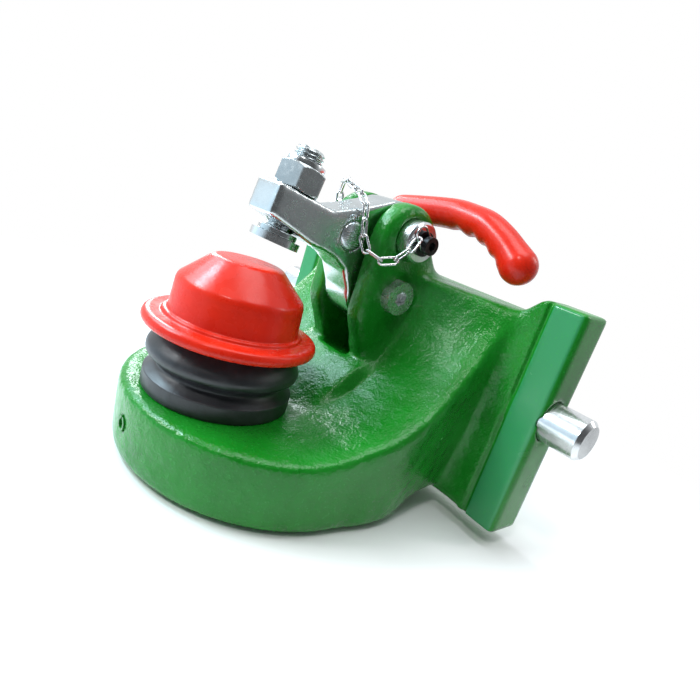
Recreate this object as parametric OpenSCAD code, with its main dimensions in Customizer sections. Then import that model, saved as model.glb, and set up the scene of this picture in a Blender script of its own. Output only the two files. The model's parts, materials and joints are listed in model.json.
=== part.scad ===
// Tractor ball hitch: cast slide-in plate with a coupling ball, a hinged hold-down arm,
// a pull-out locking pin with handle, and two sprung side bolts.
// Origin at the ball centre, X across the tractor, +Y from the ball to the plate, +Z up.

/* [Ball] */
// Diameter of the coupling ball
ball_d = 80; // [79:0.1:81]
// Diameter of the neck under the ball
neck_d = 54; // [44:1:58]
// Diameter of the ball's foot flange
ball_flange_d = 84; // [72:1:86]
// Thickness of the foot flange
ball_flange_t = 6; // [4:0.5:9]
// Diameter of the shank in the casting
shank_d = 56; // [50:1:60]

/* [Cast nose] */
// Height of the nose top below the ball centre
nose_drop = 52; // [50:0.5:56]
// Thickness of the nose
nose_t = 51; // [40:1:60]
// Radius of the rounded nose in plan, at its bottom
nose_r = 107.5; // [100:0.5:115]
// Distance from the ball axis back to the centre of the nose radius
nose_back = 49; // [44:1:54]
// Rounding along the bottom edge
foot_round = 9; // [4:0.5:12]
// Growth of the plan outline from the foot to the crest, as a factor
draft = 1.085; // [1.02:0.005:1.1]

/* [Cast shoulder] */
// Gap between the hinge axis and the scooped wall beside the lugs
wall_back = 17.5; // [16:0.5:20]
// Radius in plan of the scooped wall, which sweeps back to the plate
wall_r = 163; // [150:1:180]
// Radius of the hollow below the wall, beside the lugs
hollow_in = 85; // [80:1:92]
// Radius of the hollow at the casting's flanks
hollow_out = 170; // [150:1:185]
// Height of the wall's crest above the ball centre
crest_z = 64.3; // [60:0.1:68]
// Half width of the ramp under the lugs
ramp_half = 40; // [36:1:50]
// Height of the pocket's front lip
lip_z = -12; // [-20:1:-6]

/* [Plate] */
// Width of the guide plate
plate_w = 310; // [290:1:330]
// Thickness of the guide plate
plate_t = 33; // [32:0.5:40]
// Distance from the ball axis to the plate's front face
plate_y = 152; // [146:1:160]
// Top edge of the plate above the ball centre
plate_top = 77.7; // [70:0.1:90]
// Bottom edge of the plate below the ball centre
plate_drop = 90.3; // [84:0.1:98]
// Width of the machined guide strip at each edge
strip_w = 24; // [18:0.5:30]
// Width of the groove beside the guide strip
groove_w = 4; // [2:0.5:6]
// Depth of the groove
groove_t = 3; // [1:0.5:5]
// Bevel on the plate's front edges
plate_bevel = 3; // [1:0.5:4]

/* [Side bolts] */
// Diameter of the side bolts
bolt_d = 30; // [26:0.5:30]
// Length of bolt beyond the plate's side face
bolt_out = 27.5; // [20:0.5:34]
// Travel of a side bolt when it is drawn in
bolt_travel = 27; // [20:0.5:32]
// Overall length of a side bolt
bolt_len = 98; // [90:1:104]
// Depth of the side bolt's bore
bolt_bore = 116; // [114:1:122]
// Chamfer on the bolt's end
bolt_chamfer = 3; // [1:0.5:4]
// Wire diameter of the bolt's spring
spring_wire = 3; // [2:0.25:3.5]
// Outer diameter of the bolt's spring
spring_d = 25; // [20:0.5:27]
// Number of turns of the spring
spring_turns = 5; // [3:1:6]
// Diameter of the release pin in each bolt
release_d = 10; // [8:0.5:12]
// Height of the release pin's knob behind the plate
release_out = 22; // [16:1:30]

/* [Lugs] */
// Distance between the lugs' inner faces
lug_gap = 33; // [31.5:0.5:36]
// Thickness of a lug
lug_t = 17.5; // [14:0.5:20]
// Radius of the lug round the locking pin
lug_r = 28; // [24:0.5:32]

/* [Hinge] */
// Distance from the ball axis to the hinge
hinge_y = 105.5; // [104:0.5:107]
// Height of the hinge above the ball centre
hinge_z = 43.7; // [43:0.1:45]
// Diameter of the hinge bolt
hinge_d = 16; // [12:0.5:18]
// Head diameter of the hinge bolt
hinge_head_d = 25.5; // [24:0.5:28]
// Head height of the hinge bolt
hinge_head_t = 8; // [6:0.5:10]
// Flat cut on the head, measured from its centre
hinge_flat = 11; // [10:0.5:12]
// Wall of the bush in the arm
bush_wall = 2; // [1.5:0.25:3]

/* [Locking pin] */
// Diameter of the locking pin
pin_d = 30; // [28:0.5:30]
// Height of the locking pin above the hinge
pin_up = 42.8; // [42.8:0.1:46]
// Length of pin standing out of the near lug
pin_near = 10.6; // [6:0.1:14]
// Length of pin standing out of the far lug
pin_far = 22; // [20:0.5:30]
// Diameter of the handle's rod
rod_d = 12; // [10:0.5:14]
// Distance from the ball axis to the grip
grip_y = 152; // [150:1:156]
// Thickness of the grip
grip_d = 25; // [22:0.5:27]
// Depth of the finger hollows under the grip
finger_t = 1.6; // [0.5:0.1:2.5]

/* [Hold-down arm] */
// Thickness of the arm
arm_t = 30; // [26:0.5:30]
// Radius of the arm's boss round the hinge
boss_r = 29.5; // [27:0.5:30]
// Diameter of the cross pin in the arm
cross_d = 20.5; // [16:0.5:21]
// Length of cross pin standing out of each side of the arm
cross_out = 1.2; // [0.5:0.1:1.3]
// Tilt of the pressure screw towards the hinge
screw_tilt = 9.1; // [7:0.1:11]
// Diameter of the pressure screw
screw_d = 20; // [18:0.5:20]
// Length of screw above the lock nut
screw_out = 8; // [4:0.5:12]
// Height of the lock nut
nut_t = 20; // [16:0.5:22]
// Width of the lock nut across its flats
nut_af = 30; // [30:1:32]
// Diameter of the pressure foot
foot_d = 34; // [30:0.5:36]
// Thickness of the pressure foot
foot_t = 5; // [4:0.5:6]
// Diameter of the screw's collar above the foot
collar_d = 27; // [24:0.5:30]
// Height of the collar
collar_t = 4; // [3:0.5:5]
// Distance from the arm's top down to the collar
collar_drop = 27.2; // [27.2:0.1:29]

/* [Cap and bellows] */
// Outer diameter of the cap's flange
cap_flange_d = 117.8; // [112:0.2:122]
// Thickness of the flange's rim
cap_rim_t = 8.1; // [6:0.1:9]
// Outer diameter of the cap's wall at its foot
cap_wall_d = 88; // [87:0.5:92]
// Wall thickness of the cap
cap_wall = 2.8; // [2:0.1:3]
// Wall thickness of the bellows
bellows_wall = 3; // [2:0.25:4]
// Outer diameter of the bellows' fold
bellows_d = 104; // [100:0.5:108]

/* [Chain] */
// Wire diameter of the chain
chain_wire = 1.8; // [1.4:0.1:2]
// Length of one link, measured inside
link_pitch = 11.3; // [11.2:0.1:11.4]
// Outer width of one link
link_w = 7; // [6.8:0.1:7.2]

/* [Hidden] */
$fn = 96;

// Radial clearance of a running fit
run_gap = 0.05;
// Radial clearance of a part fixed in its hole
seat_gap = 0.02;
// Gap between curved faces that only touch
touch_gap = 0.3;
// Screw in the pin's end and screw that anchors the chain
end_screw_d = 8;
anchor_d = 2.6;

ball_r = ball_d / 2;
nose_top = -nose_drop;
foot_z = nose_top - nose_t;
plate_back = plate_y + plate_t;
plate_x = plate_w / 2;
strip_x = plate_x - strip_w;
bolt_r = bolt_d / 2;
bolt_y = plate_y + plate_t / 2;
lug_in = lug_gap / 2;
lug_out = lug_in + lug_t;
pin_r = pin_d / 2;
pin_z = hinge_z + pin_up;
hinge_r = hinge_d / 2;
bush_r = hinge_r + run_gap + bush_wall;
arm_half = arm_t / 2;

function smooth_point(p, i, t) =
    let (a = p[max(i - 1, 0)], b = p[i], c = p[i + 1], d = p[min(i + 2, len(p) - 1)])
    0.5 * (2 * b + (c - a) * t + (2 * a - 5 * b + 4 * c - d) * t * t
           + (3 * b - a - 3 * c + d) * t * t * t);
function smooth_path(p, n) =
    [for (i = [0 : len(p) - 2], k = [0 : n - 1]) smooth_point(p, i, k / n), p[len(p) - 1]];
function unit(v) = v / norm(v);
function heading(p, i) = unit(p[min(i + 1, len(p) - 1)] - p[max(i - 1, 0)]);

// A solid through sections with equally many points
module loft(sections) {
    n = len(sections[0]);
    m = len(sections);
    walls = [for (i = [0 : m - 2], k = [0 : n - 1])
        let (a = i * n + k, b = i * n + (k + 1) % n)
        each [[a, a + n, b], [b, a + n, b + n]]];
    first = [for (k = [0 : n - 1]) k];
    last = [for (k = [n - 1 : -1 : 0]) (m - 1) * n + k];
    polyhedron([for (section = sections) each section], concat(walls, [first, last]));
}

// A round tube along a path; side is a direction that the path never follows
module swept_tube(path, radii, sides, side) {
    loft([for (i = [0 : len(path) - 1])
        let (h = heading(path, i), u = unit(cross(h, side)), v = cross(h, u))
        [for (k = [0 : sides - 1])
            path[i] + radii[i] * (cos(360 * k / sides) * u + sin(360 * k / sides) * v)]]);
}

// A profile drawn in (Y, Z) and extruded across X
module across(width) {
    rotate([90, 0, 90]) translate([0, 0, -width / 2]) linear_extrude(width) children();
}

// A cylinder along X that starts at x
module x_cylinder(x, length, r) {
    translate([x, 0, 0]) rotate([0, 90, 0]) cylinder(h = length, r = r);
}

// Casting: drafted body

// Right half of the plan outline at the foot, from the nose to the plate
nose_arc = [for (a = [-90 : 6 : 0]) nose_r * [cos(a), sin(a)]];
flank = [[nose_r + 3, 17], [nose_r + 3.5, 35], [nose_r - 0.5, 57], [nose_r - 8.5, 103]];
half_outline = concat(nose_arc, flank);
left_outline = [for (i = [len(half_outline) - 1 : -1 : 1]) [-half_outline[i].x, half_outline[i].y]];
outline = concat(half_outline, left_outline);

// Heights with the inset of the outline there: the rounded foot, then the drafted wall
body_top = crest_z + 8;
foot_levels = [for (a = [0 : 22.5 : 90])
    [foot_z + foot_round * (1 - cos(a)), foot_round * (1 - sin(a))]];
body_levels = concat(foot_levels, [[nose_top, 0], [0, 0], [body_top, 0]]);

function draft_at(z) = 1 + (draft - 1) * (z - foot_z) / (crest_z - foot_z);

module drafted_body() {
    loft([for (level = body_levels)
        let (s = draft_at(level[0]) * (nose_r - level[1]) / nose_r)
        [for (p = outline) [p.x * s, nose_back + p.y * s, level[0]]]]);
}

// Side view of the body with its raised underside behind the nose
module side_view() {
    heel_y = plate_y - 36;
    heel_z = -plate_drop + 4;
    inside = plate_y + 12;
    polygon([[-80, foot_z - 7], [heel_y - 34, foot_z - 7], [heel_y, heel_z], [inside, heel_z],
             [inside, crest_z], [-80, crest_z]]);
}

// The hollow that sweeps from the nose top up to the wall: sections across the casting, each
// an arc that starts level with the nose top
wall_axis = hinge_y + wall_back + sqrt(pow(wall_r, 2) - pow(lug_out, 2));
hollow_h = body_top + 1 - nose_top;
function wall_y(x) = wall_axis - sqrt(pow(wall_r, 2) - x * x);
function hollow_r(x) = hollow_in
    + (hollow_out - hollow_in) * max(0, (abs(x) - lug_out) / (nose_r - lug_out));
function hollow_y(x, h) = let (r = hollow_r(x))
    wall_y(x) - r + sqrt(r * r - pow(max(0, r - h), 2));

module scoop() {
    front = nose_back - nose_r * draft - 20;
    rises = [for (a = [0 : 6 : 90]) hollow_h * (1 - cos(a))];
    loft([for (x = [-126 : 7 : 126])
        concat([[x, front, nose_top + hollow_h], [x, front, nose_top]],
               [for (h = rises) [x, hollow_y(x, h), nose_top + h]])]);
}

module ramp() {
    ramp_y = hinge_y - 15.5;
    rise = lip_z - nose_top;
    across(2 * ramp_half) polygon([[ramp_y - rise - 8, nose_top - 8], [ramp_y, lip_z],
        [plate_y - 10, lip_z], [plate_y - 10, nose_top - 8]]);
}

module plate() {
    in_x = strip_x - groove_w;
    half = [[in_x, plate_y], [in_x, plate_y + groove_t], [strip_x, plate_y + groove_t],
            [strip_x, plate_y], [plate_x - plate_bevel, plate_y],
            [plate_x, plate_y + plate_bevel], [plate_x, plate_back]];
    other = [for (i = [len(half) - 1 : -1 : 0]) [-half[i].x, half[i].y]];
    // The top edge dips to the crest between the guide strips
    dip = [[-nose_r - 1.5, crest_z], [nose_r + 1.5, crest_z], [in_x - 5, plate_top + 1],
           [5 - in_x, plate_top + 1]];
    difference() {
        translate([0, 0, -plate_drop]) linear_extrude(plate_top + plate_drop)
            polygon(concat(half, other));
        translate([0, plate_back + 1, 0]) rotate([90, 0, 0]) linear_extrude(plate_t + 2)
            polygon(dip);
    }
}

module lug_profile() {
    front = hinge_y - lug_r;
    eye_z = pin_z - 3.5;
    heel_z = crest_z + 5;
    union() {
        translate([hinge_y, eye_z]) circle(lug_r);
        polygon([[front, eye_z], [front, hinge_z - 22], [hinge_y - 5.5, lip_z - 6],
                 [plate_y - 2, lip_z - 6], [plate_y + 4, crest_z - 2], [plate_y + 4, crest_z + 3],
                 [plate_y - 4, crest_z + 3], [plate_y - 7, heel_z], [hinge_y + lug_r, eye_z]]);
    }
}

module lugs() {
    for (side = [-1, 1]) translate([side * (lug_in + lug_t / 2), 0, 0]) across(lug_t) lug_profile();
}

module release_slot(side) {
    slot_r = release_d / 2 + 0.5;
    x0 = plate_x - 45;
    hull() for (x = [x0, x0 - bolt_travel])
        translate([side * x, bolt_y, 0]) rotate([-90, 0, 0])
            cylinder(h = plate_t, r = slot_r, $fn = 32);
}

module casting_bores() {
    translate([0, 0, foot_z - 1]) cylinder(h = nose_t + 2, r = shank_d / 2 + seat_gap);
    translate([0, nose_back - nose_r - 10, nose_top - 23]) rotate([-90, 0, 0])
        cylinder(h = 60, r = 5 + seat_gap);
    translate([0, hinge_y, pin_z]) x_cylinder(-lug_out - 1, 2 * lug_out + 2, pin_r + run_gap);
    translate([0, hinge_y, hinge_z]) x_cylinder(-lug_out - 1, 2 * lug_out + 2, hinge_r + seat_gap);
    on_anchor() x_cylinder(0, 8.5, anchor_d / 2 + seat_gap);
    for (side = [-1, 1]) {
        translate([0, bolt_y, 0]) x_cylinder(side > 0 ? plate_x - bolt_bore : -plate_x - 1,
                                             bolt_bore + 1, bolt_r + run_gap);
        release_slot(side);
    }
}

module pocket() {
    y0 = hinge_y - 12;
    y1 = hinge_y + boss_r + 1.5;
    translate([-lug_in, y0, lip_z - 10]) cube([lug_gap, y1 - y0, body_top - lip_z + 40]);
}

module casting() {
    color("forestgreen") difference() {
        union() {
            difference() {
                intersection() {
                    drafted_body();
                    across(2 * plate_x) side_view();
                }
                scoop();
            }
            ramp();
            plate();
            lugs();
        }
        pocket();
        casting_bores();
        // Round seat for the bellows and the ball's foot flange
        translate([0, 0, nose_top]) cylinder(h = 12, r = bellows_d / 2 + 1.5);
    }
}

// Ball and what seals it

module coupling_ball() {
    neck_top = sqrt(pow(ball_r, 2) - pow(neck_d / 2, 2));
    flange_z = nose_top + ball_flange_t;
    color("silver") difference() {
        union() {
            sphere(r = ball_r);
            translate([0, 0, flange_z - 0.5]) cylinder(h = -neck_top - flange_z + 1, r = neck_d / 2);
            translate([0, 0, nose_top]) cylinder(h = ball_flange_t, r = ball_flange_d / 2);
            translate([0, 0, foot_z + 3]) cylinder(h = nose_t - 3 + 0.5, r = shank_d / 2);
        }
        translate([0, -shank_d, nose_top - 23]) rotate([-90, 0, 0])
            cylinder(h = shank_d - 12, r = 5 + seat_gap);
    }
}

module ball_spring_pin() {
    pin_y = nose_back - nose_r - 2;
    color("dimgray") translate([0, pin_y, nose_top - 23]) rotate([-90, 0, 0]) difference() {
        cylinder(h = -pin_y - 12.5, r = 5);
        translate([0, 0, -1]) cylinder(h = -pin_y + 2, r = 3.2);
        translate([-0.6, -6, -1]) cube([1.2, 6, -pin_y + 2]);
    }
}

module bellows() {
    r = bellows_d / 2;
    wall = bellows_wall;
    // Outer line from the base ring over the fold to the lip at the ball
    outer = [[44, nose_top + 0.1], [r - 1.4, nose_top + 0.1], [r - 1.0, nose_top + 3],
             [r - 1.2, -41], [r - 4, -39.3], [r - 7.5, -36.5], [r - 8, -34.5], [r - 5, -31],
             [r - 1.2, -28.5], [r, -25.5], [r - 0.6, -22], [r - 3, -18], [r - 6.5, -13.5],
             [r - 9.5, -10], [39.4, -9.3]];
    inner = [[39.4, -12.5], [r - 12, -13.8], [r - 9, -17], [r - 4.5, -22.5], [r - wall, -25.5],
             [r - 5, -28], [r - 10, -31.5], [r - 11.2, -35], [r - 9, -39], [44, -41.5]];
    color([0.08, 0.08, 0.09]) rotate_extrude() polygon(concat(outer, inner));
}

module ball_cap() {
    flange_z = -8.7;
    flange_r = cap_flange_d / 2;
    wall_r = cap_wall_d / 2;
    top = ball_r + 0.05;
    rim_z = flange_z + cap_rim_t;
    outer = [[flange_r - 2.5, flange_z], [flange_r - 0.4, flange_z + 1.6], [flange_r, flange_z + 4],
             [flange_r - 1.2, rim_z - 0.9], [flange_r - 4, rim_z], [wall_r + 3.2, rim_z],
             [wall_r + 2.6, rim_z + 2.3], [wall_r, rim_z + 2.5], [wall_r - 1.2, 21.5],
             [wall_r - 2.2, 24.5], [24, 41.4], [21.5, 42.5], [18, 42.9], [0, 42.9]];
    inner = [[0, top], [17, top], [wall_r - 4.6, 22.5], [wall_r - cap_wall, rim_z],
             [wall_r - cap_wall, -4.5], [flange_r - 4.5, -4.5], [flange_r - 4.5, flange_z]];
    color("orangered") rotate_extrude() polygon(concat(outer, inner));
}

// Hold-down arm and its screw

// Places children on the pressure screw's axis, with z = 0 where it leaves the arm's top
module on_screw() {
    translate([0, 19.3, 93.8]) rotate([-screw_tilt, 0, 0]) children();
}

module arm_profile() {
    polygon([[-4, 76], [-1, 96.7], [45, 89.6], [68, 97], [88, 105.4], [97, 109.5],
             [106, 110.6], [113, 108], [113.5, 98], [hinge_y + 3, pin_z],
             [hinge_y - 4, hinge_z + 5], [80.4, 28.4], [76.8, 37], [68, 51.4], [57, 58.3],
             [46, 61.4], [34, 63.2], [21, 67.8]]);
}

// Space behind the locking pin, open to the rear, that the pin slides through
module pin_space() {
    x0 = -arm_half - 1;
    width = arm_t + 2;
    translate([0, hinge_y, pin_z]) x_cylinder(x0, width, pin_r + touch_gap);
    intersection() {
        translate([x0, hinge_y, hinge_z]) cube([width, 80, 120]);
        translate([0, hinge_y, hinge_z]) difference() {
            x_cylinder(x0, width, pin_up + pin_r + touch_gap);
            x_cylinder(x0 - 1, width + 2, pin_up - pin_r - touch_gap);
        }
    }
}

module hold_down_arm() {
    color("lightsteelblue") difference() {
        union() {
            across(arm_t) arm_profile();
            translate([0, hinge_y, hinge_z]) x_cylinder(-arm_half, arm_t, boss_r);
        }
        pin_space();
        translate([0, hinge_y, hinge_z]) x_cylinder(-arm_half - 1, arm_t + 2, bush_r + seat_gap);
        translate([0, 66.5, 76.3]) x_cylinder(-arm_half - 1, arm_t + 2, cross_d / 2 + seat_gap);
        on_screw() translate([0, 0, -40]) cylinder(h = 60, r = screw_d / 2 + run_gap);
    }
}

module hinge_bush() {
    color("darkgoldenrod") translate([0, hinge_y, hinge_z]) difference() {
        x_cylinder(-arm_half, arm_t, bush_r);
        x_cylinder(-arm_half - 1, arm_t + 2, hinge_r + run_gap);
    }
}

module arm_cross_pin() {
    color("silver") translate([0, 66.5, 76.3])
        x_cylinder(-arm_half - cross_out, arm_t + 2 * cross_out, cross_d / 2);
}

module pressure_screw() {
    color("silver") on_screw() union() {
        translate([0, 0, -collar_drop - 1])
            cylinder(h = collar_drop + 1 + nut_t + screw_out - 1.5, r = screw_d / 2);
        translate([0, 0, nut_t + screw_out - 1.5])
            cylinder(h = 1.5, r1 = screw_d / 2, r2 = screw_d / 2 - 1.5);
        translate([0, 0, -collar_drop - collar_t]) cylinder(h = collar_t, r = collar_d / 2);
    }
}

module lock_nut() {
    color("gainsboro") on_screw() difference() {
        union() {
            intersection() {
                cylinder(h = nut_t - 4, r = nut_af / sqrt(3), $fn = 6);
                cylinder(h = nut_t, r1 = nut_af / sqrt(3) - 0.6, r2 = nut_af / 2 + nut_t);
            }
            translate([0, 0, nut_t - 4]) cylinder(h = 4, r = nut_af / 2 - 1.5);
        }
        translate([0, 0, -1]) cylinder(h = nut_t + 2, r = screw_d / 2 + seat_gap);
    }
}

module pressure_foot() {
    color("silver") on_screw() translate([0, 0, -collar_drop - collar_t - foot_t]) union() {
        cylinder(h = foot_t, r = foot_d / 2);
    }
}

// Hinge bolt

module hinge_bolt() {
    color("silver") translate([0, hinge_y, hinge_z]) difference() {
        union() {
            x_cylinder(-lug_out - 17, 2 * lug_out + 18, hinge_r);
            intersection() {
                x_cylinder(lug_out, hinge_head_t, hinge_head_d / 2);
                rotate([45, 0, 0]) translate([lug_out, -20, -20]) cube([20, 40, 20 + hinge_flat]);
            }
        }
        translate([lug_out + hinge_head_t - 4.5, 0, 0]) rotate([0, 90, 0])
            cylinder(h = 6, r = 5.8, $fn = 6);
    }
}

module hinge_washer() {
    color("silver") translate([0, hinge_y, hinge_z]) difference() {
        x_cylinder(-lug_out - 3, 3, 15);
        x_cylinder(-lug_out - 4, 5, hinge_r + seat_gap);
    }
}

module hinge_nut() {
    color("silver") translate([-lug_out - 16, hinge_y, hinge_z]) rotate([0, 90, 0]) difference() {
        cylinder(h = 13, r = 24 / sqrt(3), $fn = 6);
        translate([0, 0, -1]) cylinder(h = 15, r = hinge_r + seat_gap);
    }
}

// Locking pin, handle and chain

rod_x = -lug_out - pin_far + 10;

module locking_pin() {
    x0 = -lug_out - pin_far;
    x1 = lug_out + pin_near;
    color("silver") translate([0, hinge_y, pin_z]) difference() {
        union() {
            x_cylinder(x0, x1 - x0 - 1.5, pin_r);
            translate([x1 - 1.5, 0, 0]) rotate([0, 90, 0]) cylinder(h = 1.5, r1 = pin_r, r2 = pin_r - 1.5);
        }
        translate([rod_x, -pin_d, 0]) rotate([-90, 0, 0]) cylinder(h = 2 * pin_d, r = rod_d / 2 + seat_gap);
        x_cylinder(x1 - 20, 30, end_screw_d / 2 + seat_gap);
    }
}

// Grip line in (X, Z), from the rod to the knob
grip_line = [[-38, 107], [-6, 111.5], [24, 114.6], [43, 113.8], [59, 111.6], [74, 105.6],
             [86, 98.5], [94.5, 92.6]];

rod_route = smooth_path([[rod_x, hinge_y - pin_r - 4, pin_z], [rod_x, hinge_y + 6, pin_z],
    [rod_x, hinge_y + 24, pin_z + 1], [rod_x + 0.5, grip_y - 10, pin_z + 8],
    [rod_x + 4, grip_y - 2, 102], [-34, grip_y, 107.6], [-26, grip_y, 108.7]], 5);

module handle_rod() {
    straight = hinge_y + pin_r + 2;
    bend = [for (p = rod_route) if (p.y > straight + 1 || p.x > rod_x + 1) p];
    color("silver") union() {
        translate([rod_x, hinge_y - pin_r - 4, pin_z]) rotate([-90, 0, 0])
            cylinder(h = straight - hinge_y + pin_r + 4, r = rod_d / 2);
        swept_tube(concat([[rod_x, straight - 0.5, pin_z]], bend),
                   [for (i = [0 : len(bend)]) rod_d / 2], 24, [0.3, 0, 1]);
    }
}

module handle_grip() {
    line = smooth_path([for (p = grip_line) [p.x, grip_y, p.y]], 6);
    n = len(line) - 1;
    radii = [for (i = [0 : n])
        let (u = i / n, swell = (grip_d / 2) * (0.93 + 0.09 * u) * (u < 0.01 ? 0.88 : 1),
             knob = 1 + 0.1 * exp(-pow((u - 1) / 0.12, 2)),
             finger = u > 0.3 && u < 0.9 ? pow(sin(1200 * (u - 0.3)), 2) : 0)
        swell * knob - finger_t * finger / 2];
    // Rounded ends: rings that shrink like those of a ball
    tip = heading(line, n);
    knob_steps = [for (a = [18 : 18 : 72]) a];
    nose = [for (a = knob_steps) line[n] + tip * radii[n] * sin(a)];
    nose_radii = [for (a = knob_steps) radii[n] * cos(a)];
    color("orangered") difference() {
        swept_tube(concat(line, nose), concat(radii, nose_radii), 24, [0, 1, 0]);
        translate([-45, grip_y, 106]) rotate([0, 82, 0]) cylinder(h = 20, r = rod_d / 2 + 1.6);
    }
}

washer_t = 2;
head_gap = chain_wire + 0.6;
end_head_t = 4.6;

module pin_end_washer() {
    color([0.1, 0.1, 0.1]) translate([0, hinge_y, pin_z]) difference() {
        x_cylinder(lug_out + pin_near, washer_t, 9);
        x_cylinder(lug_out + pin_near - 1, washer_t + 2, end_screw_d / 2 + seat_gap);
    }
}

module pin_end_screw() {
    x0 = lug_out + pin_near + washer_t + head_gap;
    color([0.1, 0.1, 0.1]) translate([0, hinge_y, pin_z]) difference() {
        union() {
            x_cylinder(x0 - 22, 23, end_screw_d / 2);
            x_cylinder(x0, end_head_t, 6.5);
        }
        translate([x0 + end_head_t - 2.6, 0, 0]) rotate([0, 90, 0]) cylinder(h = 4, r = 3.4, $fn = 6);
    }
}

// Route of the chain from the pin's end over the arm to the far lug
chain_x = lug_out + pin_near + washer_t + head_gap / 2;
chain_route = [[chain_x + 0.4, 95.2, 87.8], [chain_x + 0.8, 91.4, 80.8], [47.3, 86.4, 73.3],
               [43.4, 80.4, 68.6], [38, 74.6, 66.8], [31.8, 70.4, 68.8], [26.8, 68, 74],
               [23.4, 67, 81.5], [21.2, 66.7, 89], [19.8, 66.6, 95.2], [16.2, 67, 101.6],
               [10, 68, 105.6], [2, 70, 107.7], [-7, 72.6, 109.3], [-16, 75.5, 111.2],
               [-25, 79.2, 113.4], [-32.6, 83, 113.4], [-38.6, 85.6, 108.4],
               [-lug_out - 4.5, 86.6, 101.5], [-lug_out - 1.25, 86.2, 90.8]];
route = smooth_path(chain_route, 12);
route_steps = [for (i = [0 : len(route) - 2]) norm(route[i + 1] - route[i])];
route_run = [for (i = 0, s = 0; i <= len(route_steps);
    s = s + (i < len(route_steps) ? route_steps[i] : 0), i = i + 1) s];
route_length = route_run[len(route_steps)];
function on_route(s) = let (near = [for (k = [0 : len(route_steps) - 1]) if (route_run[k] <= s + 0.001) k],
    k = near[len(near) - 1])
    route[k] + (route[k + 1] - route[k]) * min(1, (s - route_run[k]) / route_steps[k]);

// Links lie in turn flat in the bend of the route and across it. The flat links pivot about
// the centres of their round ends; the links across hook just beyond those centres.
link_r = (link_w - chain_wire) / 2;
hook = link_r - chain_wire - 0.15;
flat_span = link_pitch + 2 * chain_wire - link_w;
pair_span = flat_span + link_pitch + 2 * hook + chain_wire;
pairs = round(route_length / pair_span);
stretch = route_length / (pairs * pair_span);
link_count = 2 * pairs;
link_ends = [for (i = [0 : link_count])
    on_route(stretch * (floor(i / 2) * pair_span + i % 2 * flat_span))];
function link_line(i) = unit(link_ends[i + 1] - link_ends[i]);
function aligned(v, w) = v * w < 0 ? -v : v;
function square_to(v, line) = unit(v - (v * line) * line);
function bend_normal(i) = unit(cross(link_line(i), i == 0 ? [1, 0, 0] : link_line(i + 1) - link_line(i - 1)));
function flat_normal(i) =
    let (own = bend_normal(i), rest = 0.4,
         before = i > 0 ? aligned(bend_normal(i - 2), own) : [0, 0, 0],
         after = i + 2 < link_count ? aligned(bend_normal(i + 2), own) : [0, 0, 0])
    square_to(own + rest * (before + after), link_line(i));
function link_side(i) = i % 2 == 0 ? cross(flat_normal(i), link_line(i)) :
    let (before = flat_normal(i - 1), after = i + 1 < link_count ? flat_normal(i + 1) : [0, 1, 0])
    square_to(before + aligned(after, before), link_line(i));
function link_inner(i) = norm(link_ends[i + 1] - link_ends[i])
    + (i % 2 == 0 ? link_w - 2 * chain_wire : -2 * hook - chain_wire);

// An oval link along x with its inner length and outer width
module oval_link(inner, width) {
    r = (width - chain_wire) / 2;
    // Whole hundredths, so that the straight wires meet the bends exactly
    span = round(100 * (inner + 2 * chain_wire - width)) / 100;
    for (s = [-1, 1]) {
        translate([s * span / 2, 0, 0]) rotate([0, 0, s > 0 ? -90 : 90])
            rotate_extrude(angle = 180, $fn = 48)
                translate([r, 0]) circle(chain_wire / 2, $fn = 24);
        translate([-span / 2, s * r, 0]) rotate([0, 90, 0])
            cylinder(h = span, r = chain_wire / 2, $fn = 24);
    }
}

// Places children at c with x and y along the given directions
module placed(c, x, y) {
    z = cross(x, y);
    multmatrix([[x.x, y.x, z.x, c.x], [x.y, y.y, z.y, c.y], [x.z, y.z, z.z, c.z], [0, 0, 0, 1]])
        children();
}

module safety_chain() {
    // The first link is wide enough to go round the screw in the pin's end
    hub = [chain_x, hinge_y, pin_z];
    back = end_screw_d / 2 + 0.2;
    wide_r = back + chain_wire / 2;
    pivot = link_ends[0] - (link_r + wide_r - chain_wire - 0.05) * link_line(0);
    out = unit(pivot - hub);
    front = norm(pivot - hub) + back;
    color("gainsboro") {
        placed(hub + out * (front - back) / 2, out, unit(cross(out, [1, 0, 0])))
            oval_link(front + back, 2 * (back + chain_wire));
        for (i = [0 : link_count - 1])
            placed((link_ends[i] + link_ends[i + 1]) / 2, link_line(i), link_side(i))
                oval_link(link_inner(i), link_w);
    }
}

// Places children where the last link hooks on the far lug, with x = 0 on its outer face
module on_anchor() {
    pull = hook + (chain_wire + anchor_d) / 2 + 0.1;
    held = link_ends[link_count] - link_line(link_count - 1) * pull;
    translate([-lug_out, held.y, held.z]) children();
}

module chain_anchor_screw() {
    under_head = chain_wire + 2.5;
    head_t = 1.6;
    color("silver") on_anchor() difference() {
        union() {
            x_cylinder(-under_head - 1, 9 + under_head, anchor_d / 2);
            x_cylinder(-under_head - head_t, head_t, 3.6);
        }
        translate([-under_head - head_t - 1, -4, -0.5]) cube([1.8, 8, 1]);
    }
}

// Side bolts

module side_bolt(side) {
    x1 = plate_x + bolt_out;
    color("silver") mirror([side < 0 ? 1 : 0, 0, 0]) translate([0, bolt_y, 0]) difference() {
        union() {
            x_cylinder(x1 - bolt_len, bolt_len - bolt_chamfer, bolt_r);
            translate([x1 - bolt_chamfer, 0, 0]) rotate([0, 90, 0])
                cylinder(h = bolt_chamfer, r1 = bolt_r, r2 = bolt_r - bolt_chamfer);
        }
        translate([plate_x - 45, 0, 0]) rotate([-90, 0, 0]) cylinder(h = bolt_d, r = release_d / 2 + seat_gap);
    }
}

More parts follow.
